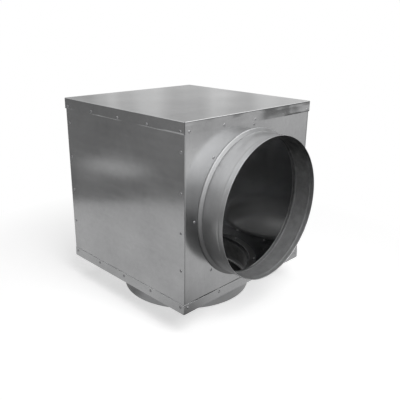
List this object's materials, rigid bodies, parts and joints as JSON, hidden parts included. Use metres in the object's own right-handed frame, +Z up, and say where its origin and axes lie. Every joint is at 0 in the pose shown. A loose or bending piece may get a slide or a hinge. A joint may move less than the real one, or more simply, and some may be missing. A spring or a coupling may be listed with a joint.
{
  "type": "plenum box",
  "caption": "Square sheet-steel air plenum box with a round duct spigot on one side and another under its base.",
  "frame": {"origin": "centre of the open rim of the round outlet spigot under the box", "axes": "+X out of the side inlet spigot, +Z up from the outlet spigot towards the top cover, +Y completes a right-handed frame"},
  "size_m": [0.4631, 0.4062, 0.46],
  "materials": {
    "galvanised_sheet": "semi-gloss zinc-coated sheet",
    "rivet_alloy": "satin",
    "sealant": "matt"
  },
  "bodies": {
    "root": {"bottom_pan": "galvanised_sheet", "cover_rivets_inlet_side": "rivet_alloy", "cover_rivets_left_side": "rivet_alloy", "cover_rivets_rear_side": "rivet_alloy", "cover_rivets_right_side": "rivet_alloy", "cover_seal": "sealant", "inlet_collar": "galvanised_sheet", "inlet_flange_seal": "sealant", "inlet_left_seam_seal": "sealant", "inlet_panel": "galvanised_sheet", "inlet_right_seam_seal": "sealant", "inlet_spigot": "galvanised_sheet", "inlet_spigot_rivets": "rivet_alloy", "left_side_panel": "galvanised_sheet", "outlet_collar": "galvanised_sheet", "outlet_flange_seal": "sealant", "outlet_spigot": "galvanised_sheet", "outlet_spigot_rivets": "rivet_alloy", "pan_rivets_inlet_side": "rivet_alloy", "pan_rivets_left_side": "rivet_alloy", "pan_rivets_rear_side": "rivet_alloy", "pan_rivets_right_side": "rivet_alloy", "pan_seal": "sealant", "rear_left_seam_seal": "sealant", "rear_panel": "galvanised_sheet", "rear_right_seam_seal": "sealant", "right_side_panel": "galvanised_sheet", "seam_rivets_inlet_left": "rivet_alloy", "seam_rivets_inlet_right": "rivet_alloy", "seam_rivets_rear_left": "rivet_alloy", "seam_rivets_rear_right": "rivet_alloy", "top_cover": "galvanised_sheet"}
  },
  "joints": []
}
